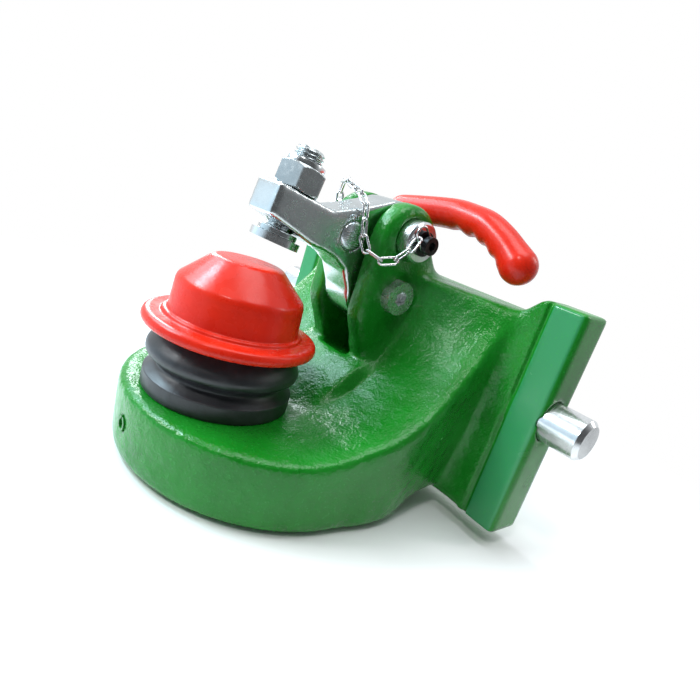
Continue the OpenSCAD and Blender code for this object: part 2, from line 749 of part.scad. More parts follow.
module release_pin(side) {
    length = plate_t / 2 + release_out;
    color("silver") translate([side * (plate_x - 45), bolt_y, 0]) rotate([-90, 0, 0]) union() {
        cylinder(h = length, r = release_d / 2);
        translate([0, 0, length - 8]) cylinder(h = 8, r = release_d / 2 + 4);
    }
}

module bolt_spring(side) {
    from = plate_x - bolt_bore;
    to = plate_x + bolt_out - bolt_len;
    r = (spring_d - spring_wire) / 2;
    run = to - from - spring_wire - 0.4;
    steps = 14 * spring_turns;
    path = [for (i = [0 : steps])
        [from + 0.2 + spring_wire / 2 + run * i / steps,
         bolt_y + r * cos(360 * i / 14), r * sin(360 * i / 14)]];
    color("dimgray") mirror([side < 0 ? 1 : 0, 0, 0])
        swept_tube(path, [for (p = path) spring_wire / 2], 8, [1, 0, 0]);
}

module side_bolt_right() { side_bolt(1); }
module side_bolt_left() { side_bolt(-1); }
module bolt_spring_right() { bolt_spring(1); }
module bolt_spring_left() { bolt_spring(-1); }
module release_pin_right() { release_pin(1); }
module release_pin_left() { release_pin(-1); }

casting();
coupling_ball();
ball_spring_pin();
bellows();
ball_cap();
hold_down_arm();
hinge_bush();
hinge_bolt();
hinge_washer();
hinge_nut();
arm_cross_pin();
pressure_screw();
lock_nut();
pressure_foot();
locking_pin();
handle_rod();
handle_grip();
pin_end_screw();
pin_end_washer();
safety_chain();
chain_anchor_screw();
side_bolt_right();
side_bolt_left();
bolt_spring_right();
bolt_spring_left();
release_pin_right();
release_pin_left();
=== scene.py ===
"""Looks of the tractor ball hitch: soft cast form, threads, turned steel, enamel, studio."""

import json
import math

import bmesh
import bpy
import numpy as np
from mathutils import Matrix, Vector


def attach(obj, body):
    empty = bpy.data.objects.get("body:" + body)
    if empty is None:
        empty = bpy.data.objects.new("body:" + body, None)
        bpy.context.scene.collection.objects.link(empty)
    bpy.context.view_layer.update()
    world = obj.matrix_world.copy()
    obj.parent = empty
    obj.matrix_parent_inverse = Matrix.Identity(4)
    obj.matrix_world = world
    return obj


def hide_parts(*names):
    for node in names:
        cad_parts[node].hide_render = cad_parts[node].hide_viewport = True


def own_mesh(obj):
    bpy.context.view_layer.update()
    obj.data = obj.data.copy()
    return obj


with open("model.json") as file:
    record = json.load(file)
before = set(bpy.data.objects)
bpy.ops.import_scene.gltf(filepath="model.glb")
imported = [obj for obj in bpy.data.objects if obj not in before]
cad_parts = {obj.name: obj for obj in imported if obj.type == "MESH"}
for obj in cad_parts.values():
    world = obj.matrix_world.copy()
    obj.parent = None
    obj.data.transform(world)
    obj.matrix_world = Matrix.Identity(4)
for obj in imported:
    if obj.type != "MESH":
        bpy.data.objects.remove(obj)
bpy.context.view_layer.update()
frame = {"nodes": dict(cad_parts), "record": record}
nodes = frame["nodes"]

MM = 0.001

# Places on the solids, in mm: the ball's middle is the origin, y runs to the tractor, z up
HINGE = (105.5, 43.7)          # y, z of the hinge's axis
LOCKING_PIN = (105.5, 86.5)    # y, z of the locking pin's axis
CROSS_PIN = (66.5, 76.3)       # y, z of the axis of the pin across the arm
SCREW_SEAT = (19.3, 93.8)      # y, z where the screw's axis leaves the arm's top
SCREW_TILT = math.radians(9.1)
SPRING_PIN_Z = -75.0
BELLOWS_FOOT_Z = -52.0
GRIP_Y = 152.0
FLOOR_Z = -103.2


# Shader helpers

CENTRE = (0.3, 0.7)    # the span that holds most of a noise texture's values


def new_shader(name):
    material = bpy.data.materials.new(name)
    material.use_nodes = True
    tree = material.node_tree
    shader = tree.nodes["Principled BSDF"]
    return material, tree, shader


def feed(tree, socket, value):
    if isinstance(value, bpy.types.NodeSocket):
        tree.links.new(value, socket)
    else:
        socket.default_value = value


def add(tree, kind, props=None, **inputs):
    """A new node; an input is named, with _ for a space, or numbered as i0, i1 and so on."""
    node = tree.nodes.new("ShaderNode" + kind)
    for key, value in (props or {}).items():
        setattr(node, key, value)
    for key, value in inputs.items():
        feed(tree, node.inputs[int(key[1:]) if key[1:].isdigit() else key.replace("_", " ")], value)
    return node


def math_node(tree, operation, a, b=0.0):
    return add(tree, "Math", {"operation": operation}, i0=a, i1=b).outputs[0]


def place(tree, scale=(1, 1, 1), turn=(0, 0, 0)):
    coords = add(tree, "TexCoord").outputs["Object"]
    return add(tree, "Mapping", None, Vector=coords, Rotation=turn, Scale=scale).outputs[0]


def noise(tree, vector, scale, detail=2.0, rough=0.5, distortion=0.0):
    return add(tree, "TexNoise", None, Vector=vector, Scale=scale, Detail=detail, Roughness=rough,
               Distortion=distortion).outputs["Fac"]


def spread(tree, value, span, to=(0, 1)):
    """Maps the span of the value evenly to another, clamped at both ends."""
    return add(tree, "MapRange", {"clamp": True}, Value=value, From_Min=span[0], From_Max=span[1],
               To_Min=to[0], To_Max=to[1]).outputs[0]


def mix(tree, factor, a, b):
    node = add(tree, "Mix", {"data_type": "RGBA"}, i0=factor)
    for socket, value in ((node.inputs[6], a), (node.inputs[7], b)):
        feed(tree, socket, (*value, 1) if isinstance(value, tuple) else value)
    return node.outputs[2]


def bump(tree, height, distance, strength, under=None):
    node = add(tree, "Bump", None, Strength=strength, Distance=distance, Height=height)
    if under is not None:
        tree.links.new(under, node.inputs["Normal"])
    return node.outputs[0]


def drive(tree, shader, **inputs):
    for key, value in inputs.items():
        feed(tree, shader.inputs[key.replace("_", " ")], value)


# Materials: noise scales are per metre, bump heights and places in metres

def green_enamel():
    """Thick glossy paint over sand-cast skin; smooth where the strips were machined, with a painted
    bluish sheen on the strips' front faces.
    """
    strip_side, strip_front = (0.1265, 0.1285), (0.147, 0.151)
    sheen_face_side, sheen_face_front = (0.1306, 0.1312), (0.1523, 0.1532)
    material, tree, shader = new_shader("green_enamel")
    where = place(tree)
    axes = add(tree, "SeparateXYZ", None, Vector=where)
    side, depth = math_node(tree, "ABSOLUTE", axes.outputs[0]), axes.outputs[1]
    machined = math_node(tree, "MULTIPLY", spread(tree, side, strip_side),
                         spread(tree, depth, strip_front))
    patches = noise(tree, where, 22, 3, 0.55)
    base = mix(tree, spread(tree, patches, (0.35, 0.65)), (0.005, 0.160, 0.009),
               (0.009, 0.205, 0.015))
    # Painted sheen: the strips' front faces get a paler, bluish base colour that stands in for a
    # bluish reflection
    face = math_node(tree, "MULTIPLY", spread(tree, side, sheen_face_side, (0, 0.8)),
                     spread(tree, depth, sheen_face_front, (1, 0)))
    base = mix(tree, math_node(tree, "MULTIPLY", face, machined), base, (0.036, 0.25, 0.10))
    lumps = noise(tree, where, 85, 2, 0.45)
    pits = noise(tree, where, 620, 2, 0.5)
    fine = noise(tree, where, 1500, 2, 0.6)
    base = mix(tree, spread(tree, pits, (0.60, 0.75), (0, 0.45)), base, (0.03, 0.33, 0.05))
    cast = spread(tree, machined, (0, 1), (1, 0.06))
    normal = bump(tree, math_node(tree, "MULTIPLY", lumps, cast), 0.0016, 0.9)
    normal = bump(tree, math_node(tree, "MULTIPLY", pits, cast), 0.00045, 0.9, normal)
    normal = bump(tree, fine, 0.00005, 0.5, normal)
    rough = spread(tree, noise(tree, where, 60, 3), CENTRE, (0.14, 0.28))
    drive(tree, shader, Base_Color=base, Roughness=rough, Normal=normal, Specular_IOR_Level=0.36)
    return material


def metal(name, tint, dark, rough, bump_mm=0.05, patches=40, metallic=1.0):
    """A bare or plated metal, clouded between two tints."""
    material, tree, shader = new_shader(name)
    where = place(tree)
    cloud = noise(tree, where, patches, 4, 0.6, 0.4)
    base = mix(tree, spread(tree, cloud, CENTRE), dark, tint)
    gloss = spread(tree, noise(tree, where, 240, 3, 0.6), CENTRE, rough)
    normal = bump(tree, noise(tree, where, 900, 3, 0.6), bump_mm * MM, 0.6)
    drive(tree, shader, Base_Color=base, Metallic=metallic, Roughness=gloss, Normal=normal)
    return material


def turned_steel():
    """Bright turned steel, its fine turning lines round the X axis."""
    material, tree, shader = new_shader("turned_steel")
    where = place(tree)
    cloud = noise(tree, where, 55, 3, 0.6)
    base = mix(tree, spread(tree, cloud, CENTRE), (0.60, 0.61, 0.62), (0.80, 0.81, 0.82))
    lines = noise(tree, place(tree, (2600, 40, 40)), 1.0, 3, 0.7)
    rough = spread(tree, lines, CENTRE, (0.16, 0.30))
    normal = bump(tree, lines, 0.00006, 0.6)
    normal = bump(tree, noise(tree, where, 700, 2), 0.00003, 0.5, normal)
    drive(tree, shader, Base_Color=base, Metallic=1.0, Roughness=rough, Normal=normal)
    return material


def red_plastic():
    """Moulded plastic with shallow waves and a faint orange peel."""
    material, tree, shader = new_shader("red_plastic")
    where = place(tree)
    cloud = noise(tree, where, 30, 2)
    base = mix(tree, spread(tree, cloud, (0.35, 0.65)), (0.60, 0.014, 0.004), (0.68, 0.021, 0.006))
    peel = noise(tree, where, 500, 2, 0.5)
    waves = noise(tree, where, 90, 2, 0.5)
    normal = bump(tree, waves, 0.0005, 0.35)
    normal = bump(tree, peel, 0.00006, 0.5, normal)
    rough = spread(tree, noise(tree, where, 120, 3), CENTRE, (0.22, 0.34))
    drive(tree, shader, Base_Color=base, Roughness=rough, Normal=normal, Coat_Weight=0.08,
          Coat_Roughness=0.15, Specular_IOR_Level=0.26, Subsurface_Weight=0.08,
          Subsurface_Scale=0.002)
    return material


def painted_over():
    """The end of the spring pin, under the same paint as the casting."""
    material, tree, shader = new_shader("painted_over")
    wear = noise(tree, place(tree), 260, 3, 0.6)
    base = mix(tree, spread(tree, wear, (0.35, 0.7)), (0.006, 0.13, 0.010), (0.009, 0.20, 0.015))
    rough = spread(tree, wear, CENTRE, (0.2, 0.35))
    normal = bump(tree, wear, 0.0002, 0.6)
    drive(tree, shader, Base_Color=base, Roughness=rough, Normal=normal)
    return material


def ground_disc():
    """A ground end face with long fine scratches across it."""
    material, tree, shader = new_shader("ground_disc")
    scratch = noise(tree, place(tree, (1, 60, 1600), (0.25, 0, 0)), 1.0, 3, 0.6)
    cloud = noise(tree, place(tree), 180, 2, 0.5)
    base = mix(tree, spread(tree, cloud, (0.35, 0.65)), (0.62, 0.68, 0.72), (0.86, 0.90, 0.93))
    rough = spread(tree, scratch, CENTRE, (0.18, 0.36))
    normal = bump(tree, scratch, 0.00012, 0.7)
    normal = bump(tree, cloud, 0.0006, 0.6, normal)
    drive(tree, shader, Base_Color=base, Metallic=1.0, Roughness=rough, Normal=normal)
    return material


def black_rubber():
    """Rubber with a little grey dust."""
    material, tree, shader = new_shader("black_rubber")
    where = place(tree)
    dust = noise(tree, where, 70, 4, 0.65)
    base = mix(tree, spread(tree, dust, (0.45, 0.8)), (0.015, 0.015, 0.018), (0.036, 0.037, 0.043))
    rough = spread(tree, dust, CENTRE, (0.30, 0.50))
    normal = bump(tree, noise(tree, where, 900, 2), 0.00008, 0.5)
    drive(tree, shader, Base_Color=base, Roughness=rough, Normal=normal, Specular_IOR_Level=0.6)
    return material


def black_oxide():
    """Blackened steel, worn a little brighter in places."""
    material, tree, shader = new_shader("black_oxide")
    wear = noise(tree, place(tree), 400, 3, 0.6)
    base = mix(tree, spread(tree, wear, (0.5, 0.8)), (0.012, 0.012, 0.014), (0.05, 0.05, 0.055))
    rough = spread(tree, wear, CENTRE, (0.28, 0.45))
    normal = bump(tree, wear, 0.00005, 0.5)
    drive(tree, shader, Base_Color=base, Metallic=0.6, Roughness=rough, Normal=normal)
    return material


materials = {
    "green_enamel": green_enamel(),
    "ball_steel": metal("ball_steel", (0.62, 0.62, 0.63), (0.50, 0.50, 0.51), (0.14, 0.24)),
    "spring_steel": metal("spring_steel", (0.14, 0.14, 0.15), (0.07, 0.07, 0.08), (0.35, 0.5)),
    "black_rubber": black_rubber(),
    "red_plastic": red_plastic(),
    "zinc_plate": metal("zinc_plate", (0.68, 0.71, 0.72), (0.52, 0.55, 0.56), (0.15, 0.29),
                        patches=26),
    "turned_steel": turned_steel(),
    "black_oxide": black_oxide(),
    "bronze": metal("bronze", (0.62, 0.40, 0.18), (0.48, 0.30, 0.13), (0.25, 0.4)),
    "chain_steel": metal("chain_steel", (0.78, 0.78, 0.78), (0.60, 0.60, 0.61), (0.16, 0.30)),
}
slot_of = {part["node"]: part["material_slot"] for part in frame["record"]["subparts"]}

for name, obj in nodes.items():
    for slot in obj.material_slots:
        slot.material = materials[slot_of[name]]
plated_bolt = metal("plated_bolt", (0.74, 0.77, 0.76), (0.54, 0.58, 0.57), (0.20, 0.34),
                    bump_mm=0.015, metallic=0.85)
for name in ("hinge_bolt", "hinge_washer", "hinge_nut"):
    nodes[name].material_slots[0].material = plated_bolt
nodes["ball_spring_pin"].material_slots[0].material = painted_over()


def dress(obj, body, node):
    """Puts a new piece in the place of a CAD node, on the node's body and with its material."""
    slot = slot_of[node]
    obj.data.materials.clear()
    obj.data.materials.append(materials[slot])
    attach(obj, body)
    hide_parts(node)


# Mesh helpers

def linked(name, data):
    obj = bpy.data.objects.new(name, data)
    bpy.context.scene.collection.objects.link(obj)
    return obj


def make_object(name, vertices, faces, smooth=True):
    mesh = bpy.data.meshes.new(name)
    mesh.from_pydata([tuple(v) for v in np.asarray(vertices, float)], [],
                     [tuple(int(i) for i in f) for f in faces])
    if smooth:
        mesh.shade_smooth()
    return linked(name, mesh)


def voxel_copy(node, name, size, blocks=()):
    """A closed copy of a CAD node, with blocks (middle, size in mm) joined on, on an even grid."""
    mesh = nodes[node].data.copy()
    form = bmesh.new()
    form.from_mesh(mesh)
    bmesh.ops.remove_doubles(form, verts=form.verts, dist=2e-6)
    for middle, sides in blocks:
        place_at = Matrix.Translation(Vector(middle) * MM)
        stretch = Matrix.Diagonal([v * MM for v in sides]).to_4x4()
        bmesh.ops.create_cube(form, size=1, matrix=place_at @ stretch)
    form.to_mesh(mesh)
    form.free()
    obj = linked(name, mesh)
    grid = obj.modifiers.new("grid", "REMESH")
    grid.mode = "VOXEL"
    grid.voxel_size = size
    grid.use_smooth_shade = True
    even = obj.evaluated_get(bpy.context.evaluated_depsgraph_get())
    obj.data = bpy.data.meshes.new_from_object(even)
    obj.data.name = name
    obj.modifiers.clear()
    return obj


def numbers(items, field, width=1, kind=np.int64):
    """A field of all vertices, edges, loops or faces as one array."""
    values = np.empty(len(items) * width, dtype=kind)
    items.foreach_get(field, values)
    return values


class Smoother:
    """Moves the points of a dense mesh: relax rounds everything, fill only fills its hollows."""

    def __init__(self, mesh):
        self.points = numbers(mesh.vertices, "co", 3, np.float64).reshape(-1, 3)
        corners = numbers(mesh.loops, "vertex_index")
        starts = numbers(mesh.polygons, "loop_start")
        four = numbers(mesh.polygons, "loop_total") == 4
        self.quads = corners[starts[four][:, None] + np.arange(4)]
        edges = numbers(mesh.edges, "vertices", 2).reshape(-1, 2)
        self.a = np.concatenate([edges[:, 0], edges[:, 1]])
        self.b = np.concatenate([edges[:, 1], edges[:, 0]])
        self.count = len(self.points)
        self.degree = np.maximum(np.bincount(self.a, minlength=self.count), 1)

    def mean(self, values):
        """The mean of each point's neighbours."""
        if values.ndim == 1:
            return np.bincount(self.a, values[self.b], self.count) / self.degree
        return np.stack([self.mean(values[:, k]) for k in range(3)], axis=1)

    def normals(self):
        p = self.points[self.quads]
        face = np.cross(p[:, 2] - p[:, 0], p[:, 3] - p[:, 1])
        total = np.stack([np.bincount(self.quads.ravel(), np.repeat(face[:, k], 4), self.count)
                          for k in range(3)], axis=1)
        return total / np.maximum(np.linalg.norm(total, axis=1, keepdims=True), 1e-20)

    def relax(self, mask, rounds):
        for _ in range(rounds):
            self.points += 0.5 * mask[:, None] * (self.mean(self.points) - self.points)

    def fill(self, mask, rounds):
        for k in range(rounds):
            if k % 4 == 0:
                normals = self.normals()
            lift = np.einsum("ij,ij->i", self.mean(self.points) - self.points, normals)
            self.points += (0.5 * mask * np.maximum(lift, 0))[:, None] * normals

    def store(self, mesh):
        mesh.vertices.foreach_set("co", self.points.ravel())
        mesh.update()


def fade(values, low, high):
    return np.clip((values - low) / (high - low), 0, 1)


def from_axis(y, z, axis):
    return np.hypot(y - axis[0], z - axis[1])


# Casting and arm: the rounded edges and soft fillets of a cast and a forged part

def casting_form():
    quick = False
    # A web closes each groove's floor where the side bolt's bore cuts through it
    webs = [((at, 155.2, 0), (4.2, 3.8, 14.4)) for at in (-129, 129)]
    obj = voxel_copy("casting", "casting_form", 0.0028 if quick else 0.0019, webs)
    shape = Smoother(obj.data)
    x, y, z = (shape.points / MM).T
    side = np.abs(x)
    soft = np.ones(shape.count)

    def keep(distance, radius, only):
        """Leaves the form alone within the radius, where the condition holds."""
        away = np.where(only, distance, np.inf)
        soft[:] = np.minimum(soft, fade(away, radius, radius + 3))

    def limit(where, most):
        soft[where] = np.minimum(soft[where], most)

    lugs, lug_faces = side > 15, side > 31
    keep(from_axis(y, z, LOCKING_PIN), 16.5, lugs)
    keep(from_axis(y, z, HINGE), np.where(lug_faces, 14.5, 9), lugs)
    keep(np.hypot(x, y), 55, np.abs(z - BELLOWS_FOOT_Z) < 6)
    keep(np.hypot(x, z - SPRING_PIN_Z), 7, y < -40)
    limit((y > 149) & (side > 124), 0.12)               # the guide's strips
    limit(y > 183, 0.2)                                 # the plate's back
    limit((side < 18.5) & (z > -15) & (y > 90), 0.25)   # the slot between the lugs
    for _ in range(3):
        soft = np.minimum(soft, shape.mean(soft))
    effort = 0.45 if quick else 1.0
    shape.relax(soft, int(14 * effort))
    fillets = soft * np.where((y < 151) & (z > -60), 1.0, 0.3)
    shape.fill(fillets, int(150 * effort))
    shape.relax(soft, int(10 * effort))
    shape.store(obj.data)
    dress(obj, "plate", "casting")


def arm_form():
    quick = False
    obj = voxel_copy("hold_down_arm", "hold_down_arm_form", 0.0020 if quick else 0.0011)
    shape = Smoother(obj.data)
    x, y, z = (shape.points / MM).T
    beside_screw = ((y - SCREW_SEAT[0]) * math.cos(SCREW_TILT)
                    - (SCREW_SEAT[1] - z) * math.sin(SCREW_TILT))
    soft = np.ones(shape.count)
    for distance, radius in ((from_axis(y, z, CROSS_PIN), 11), (from_axis(y, z, HINGE), 12),
                             (np.hypot(x, beside_screw), 11)):
        soft = np.minimum(soft, fade(distance, radius, radius + 2))
    for _ in range(2):
        soft = np.minimum(soft, shape.mean(soft))
    shape.relax(soft, 4 if quick else 12)
    shape.store(obj.data)
    dress(obj, "arm", "hold_down_arm")


# Round pieces, all sizes in mm

def circle(around):
    return np.linspace(0, 2 * math.pi, around, endpoint=False)


def ring(radius, angles, z):
    return np.stack([radius * np.cos(angles), radius * np.sin(angles), np.full(len(angles), z)],
                    axis=1)


def closed_tube(rings, last_tip, first_tip):
    """Points and faces of a skin through the rings, drawn together to a point at both ends."""
    around = len(rings[0])
    top = (len(rings) - 1) * around
    points = np.concatenate([*rings, [last_tip], [first_tip]])
    steps = [(k, (k + 1) % around) for k in range(around)]
    faces = [(i + k, i + after, i + around + after, i + around + k)
             for i in range(0, top, around) for k, after in steps]
    faces += [(top + k, top + after, len(points) - 2) for k, after in steps]
    faces += [(after, k, len(points) - 1) for k, after in steps]
    return points, faces


def along_screw(points):
    """Points on the screw's own axis, from its seat upwards, put in their place in metres."""
    seat = Matrix.Translation((0, SCREW_SEAT[0] * MM, SCREW_SEAT[1] * MM))
    matrix = np.array(seat @ Matrix.Rotation(-SCREW_TILT, 4, "X"))
    return (points * MM) @ matrix[:3, :3].T + matrix[:3, 3]


def screw_form():
    """The pressure screw with its thread and the collar that holds the foot."""
    radius, low, high, pitch, depth, chamfer = 10, -28.2, 28, 2.5, 1.25, 1.6
    collar_low, collar_high, collar_r, edge = -31.2, -27.2, 13.5, 0.6
    around = 72
    angles = circle(around)
    rings = []
    levels = np.arange(low, high + pitch / 20, pitch / 10)
    for z in levels:
        phase = (z / pitch - angles / (2 * math.pi)) % 1.0
        flank = np.clip(np.abs(phase - 0.5) * 2 * 1.25 - 0.12, 0, 1)
        r = np.minimum(radius - depth * flank, radius - max(0, chamfer - (high - z)))
        rings.append(ring(r, angles, z))
    points, faces = closed_tube(rings, (0, 0, levels[-1]), (0, 0, levels[0]))
    outline = [(radius - 2, collar_high), (collar_r - edge, collar_high),
               (collar_r, collar_high - edge), (collar_r, collar_low + edge),
               (collar_r - edge, collar_low), (radius - 2, collar_low)]
    start = len(points)
    points = np.concatenate([points, *(ring(r, angles, z) for r, z in outline)])
    for i in range(len(outline) - 1):
        for k in range(around):
            a, b = start + i * around + k, start + i * around + (k + 1) % around
            faces.append((a, a + around, b + around, b))
    obj = make_object("pressure_screw_thread", along_screw(points), faces)
    obj.data.set_sharp_from_angle(angle=math.radians(38))
    dress(obj, "screw", "pressure_screw")


def nut_form():
    """The lock nut: chamfered hexagon, a corner towards the front, and the locking ring on top."""
    flat, hex_top, top, bore, locking_r = 15.0, 16.0, 20.0, 10.2, 13.5
    around, turn, slope, step = 144, math.radians(27), 1.6, 0.3
    angles = circle(around)
    hexagon = flat / np.cos((angles - turn) % (math.pi / 3) - math.pi / 6)
    levels = [(bore, top - 0.6), (bore + 0.8, top), (locking_r - 1, top),
              (locking_r - 0.3, top - 0.3), (locking_r, top - 1), (locking_r, hex_top + 0.3),
              (locking_r + 0.3, hex_top)]
    levels += [(flat - 0.6 + (hex_top - z) * slope, z)
               for z in np.arange(hex_top, hex_top - 3.1, -step)]
    levels += [(np.inf, 8), (np.inf, 3.1)]
    levels += [(flat - 0.4 + z * slope, z) for z in np.arange(2.4, -0.01, -step)]
    levels += [(bore + 0.8, 0), (bore, 0.8)]
    points = np.concatenate([ring(np.minimum(hexagon, most), angles, z) for most, z in levels])
    count = len(levels)
    faces = []
    for i in range(count):
        below, above = ((i + 1) % count) * around, i * around
        for k in range(around):
            after = (k + 1) % around
            faces.append((below + k, below + after, above + after, above + k))
    obj = make_object("lock_nut_form", along_screw(points), faces)
    obj.data.set_sharp_from_angle(angle=math.radians(25))
    dress(obj, "arm", "lock_nut")


def revolved(name, outline, around=144, ridge=0.0, ridge_at=0.0):
    """A closed outline of (radius, z) turned about Z, with an optional mould line on its rim."""
    ridge_width, rim_share = 0.012, 0.8
    angles = circle(around)
    off = (angles - ridge_at + math.pi) % (2 * math.pi) - math.pi
    lifts = ridge * np.exp(-(off / ridge_width) ** 2)
    radii, heights = np.array(outline, float).T
    count = len(radii)
    on_rim = np.where(radii > rim_share * radii.max(), 1.0, 0.0)
    sections = []
    for angle, lift in zip(angles, lifts):
        raised = radii + lift * on_rim
        sections.append(np.stack([raised * math.cos(angle), raised * math.sin(angle), heights],
                                 axis=1))
    faces = []
    for j in range(around):
        here, there = j * count, ((j + 1) % around) * count
        for i in range(count):
            after = (i + 1) % count
            faces.append((here + i, there + i, there + after, here + after))
    obj = make_object(name, np.concatenate(sections) * MM, faces)
    form = bmesh.new()
    form.from_mesh(obj.data)
    bmesh.ops.remove_doubles(form, verts=form.verts, dist=1e-6)
    bmesh.ops.recalc_face_normals(form, faces=form.faces)
    form.to_mesh(obj.data)
    form.free()
    obj.data.shade_smooth()
    return obj


def rounded(outline, radius):
    """The outline with its corners rounded as far as the sides allow, but not on the axis."""
    points = [np.array(p, float) for p in outline]
    result = []
    for i, point in enumerate(points):
        if point[0] < 1e-6:
            result.append(point)
            continue
        before, after = points[i - 1] - point, points[(i + 1) % len(points)] - point
        reach = min(radius, 0.45 * np.linalg.norm(before), 0.45 * np.linalg.norm(after))
        start = point + before / np.linalg.norm(before) * reach
        end = point + after / np.linalg.norm(after) * reach
        result += [(1 - t) ** 2 * start + 2 * t * (1 - t) * point + t ** 2 * end
                   for t in (0, 0.25, 0.5, 0.75, 1)]
    return result


def smooth_line(points, steps):
    """An open Catmull-Rom curve through the points."""
    points = [np.array(p, float) for p in points]
    last = len(points) - 1
    result = []
    for i in range(last):
        a, b, c, d = (points[min(max(i + k, 0), last)] for k in (-1, 0, 1, 2))
        for k in range(steps):
            t = k / steps
            result.append(0.5 * (2 * b + (c - a) * t + (2 * a - 5 * b + 4 * c - d) * t ** 2
                                 + (3 * b - a - 3 * c + d) * t ** 3))
    result.append(points[-1])
    return result


def cap_form():
    flange, wall, low, rim, top, under = 58.9, 44.0, -8.7, -0.6, 42.9, 40.05
    outer = [(flange - 2.5, low), (flange - 0.4, low + 1.6), (flange, low + 4),
             (flange - 1.2, rim - 0.9), (flange - 4, rim), (wall + 3.2, rim),
             (wall + 2.6, rim + 2.3), (wall, rim + 2.5), (wall - 1.2, 21.5), (wall - 2.2, 24.5),
             (24, top - 1.5), (21.5, top - 0.4), (18, top), (0, top)]
    inner = [(0, under), (17, under), (wall - 4.6, 22.5), (wall - 2.8, rim), (wall - 2.8, -4.5),
             (flange - 4.5, -4.5), (flange - 4.5, low)]
    dress(revolved("ball_cap_form", rounded(outer + inner, 1.4)), "plate", "ball_cap")


def bellows_form():
    r, foot = 52.0, BELLOWS_FOOT_Z
    lip, seat, mouth = 39.4, 44, (39.4, -9.3)
    outer = [(seat, foot + 0.1), (r - 1.4, foot + 0.1), (r - 1.0, foot + 3), (r - 1.2, -41),
             (r - 4, -39.3), (r - 7.5, -36.5), (r - 8, -34.5), (r - 5, -31), (r - 1.2, -28.5),
             (r, -25.5), (r - 0.6, -22), (r - 3, -18), (r - 6.5, -13.5), (r - 9.5, -10), mouth]
    inner = [(lip, -12.5), (r - 12, -13.8), (r - 9, -17), (r - 4.5, -22.5), (r - 3, -25.5),
             (r - 5, -28), (r - 10, -31.5), (r - 11.2, -35), (r - 9, -39), (seat, -41.5)]
    line = rounded(outer[:4], 1.2)[:-3] + smooth_line(outer[3:], 5) + smooth_line(inner, 3)
    dress(revolved("bellows_form", line, ridge=0.5, ridge_at=math.radians(-62)), "plate", "bellows")


def cross_pin_form():
    """The pin across the arm, its ground ends slightly domed."""
    half = [(0, 16.2), (3, 16.12), (6, 15.85), (8, 15.5), (9.5, 15.1), (10.2, 14.5)]
    obj = revolved("arm_cross_pin_form", half + [(r, -z) for r, z in reversed(half)], 96)
    middle = Matrix.Translation((0, CROSS_PIN[0] * MM, CROSS_PIN[1] * MM))
    obj.data.transform(middle @ Matrix.Rotation(math.pi / 2, 4, "Y"))
    dress(obj, "arm", "arm_cross_pin")
    obj.material_slots[0].material = ground_disc()


def grip_form():
    """The moulded grip: smooth back, finger hollows below, round knob."""
    grip_r, knob_growth, knob_reach = 12.5, 0.1, 0.12
    hollow_depth, hollow_from, hollow_to = 1.7, 0.3, 0.9
    seam_height, seam_width, sides = 0.25, 0.03, 64
    line = smooth_line([(-38, 107), (-6, 111.5), (24, 114.6), (43, 113.8), (59, 111.6), (74, 105.6),
                        (86, 98.5), (94.5, 92.6)], 16)
    last = len(line) - 1
    tip = (line[-1] - line[-2]) / np.linalg.norm(line[-1] - line[-2])
    end_r = grip_r * 1.02 * (1 + knob_growth)
    # (point, share of the length, share of the radius): the line, and then the knob's round end
    stations = [(line[i], i / last, 1.0) for i in range(last + 1)]
    for degrees in (8, 16, 24, 32, 40, 48, 56, 64, 72, 79, 85):
        angle = math.radians(degrees)
        stations.append((line[-1] + tip * end_r * math.sin(angle), 1.0, math.cos(angle)))
    rings = []
    for index, (point, u, shrink) in enumerate(stations):
        ahead = line[min(index + 1, last)] - line[max(min(index, last) - 1, 0)]
        ahead = ahead / np.linalg.norm(ahead)
        up = np.array([-ahead[1], ahead[0]])
        knob = 1 + knob_growth * math.exp(-((u - 1) / knob_reach) ** 2)
        base = grip_r * (0.93 + 0.09 * u) * knob
        if u < 0.05:
            base *= 0.86 + 0.14 * math.sin(u / 0.05 * math.pi / 2)
        hollow = 0.0
        if hollow_from < u < hollow_to:
            hollow = hollow_depth * math.sin(math.radians(1200 * (u - hollow_from))) ** 2
        around = []
        for k in range(sides):
            angle = 2 * math.pi * k / sides
            below = max(0.0, -math.sin(angle)) ** 2
            radius = (base - hollow * below) * (1 + 0.025 * math.cos(2 * angle))
            radius += seam_height * math.exp(-(math.cos(angle) / seam_width) ** 2)
            side, rise = radius * shrink * math.cos(angle), radius * shrink * math.sin(angle)
            around.append((point[0] + up[0] * rise, GRIP_Y + side, point[1] + up[1] * rise))
        rings.append(around)
    end = line[-1] + tip * end_r
    points, faces = closed_tube(rings, (end[0], GRIP_Y, end[1]), (line[0][0], GRIP_Y, line[0][1]))
    dress(make_object("handle_grip_form", points * MM, faces), "pin", "handle_grip")


def spring_form(side):
    """A copy of a side bolt's spring, put in the place of its CAD node with a mesh of its own."""
    node = "bolt_spring_" + side
    obj = linked(node + "_form", nodes[node].data.copy())
    dress(obj, "plate", node)
    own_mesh(obj)


def soften(node, width):
    """Breaks the sharp edges of a CAD piece; the width is in mm."""
    edge = nodes[node].modifiers.new("edge", "BEVEL")
    edge.width = width * MM
    edge.segments = 2
    edge.limit_method = "ANGLE"
    edge.angle_limit = math.radians(28)


casting_form()
arm_form()
screw_form()
nut_form()
cap_form()
bellows_form()
grip_form()
cross_pin_form()
spring_form("right")
spring_form("left")
for name, width in (("hinge_washer", 0.4), ("hinge_nut", 0.5), ("pressure_foot", 0.4),
                    ("locking_pin", 0.4), ("pin_end_screw", 0.35), ("pin_end_washer", 0.3)):
    soften(name, width)


# Camera, floor and light, in metres

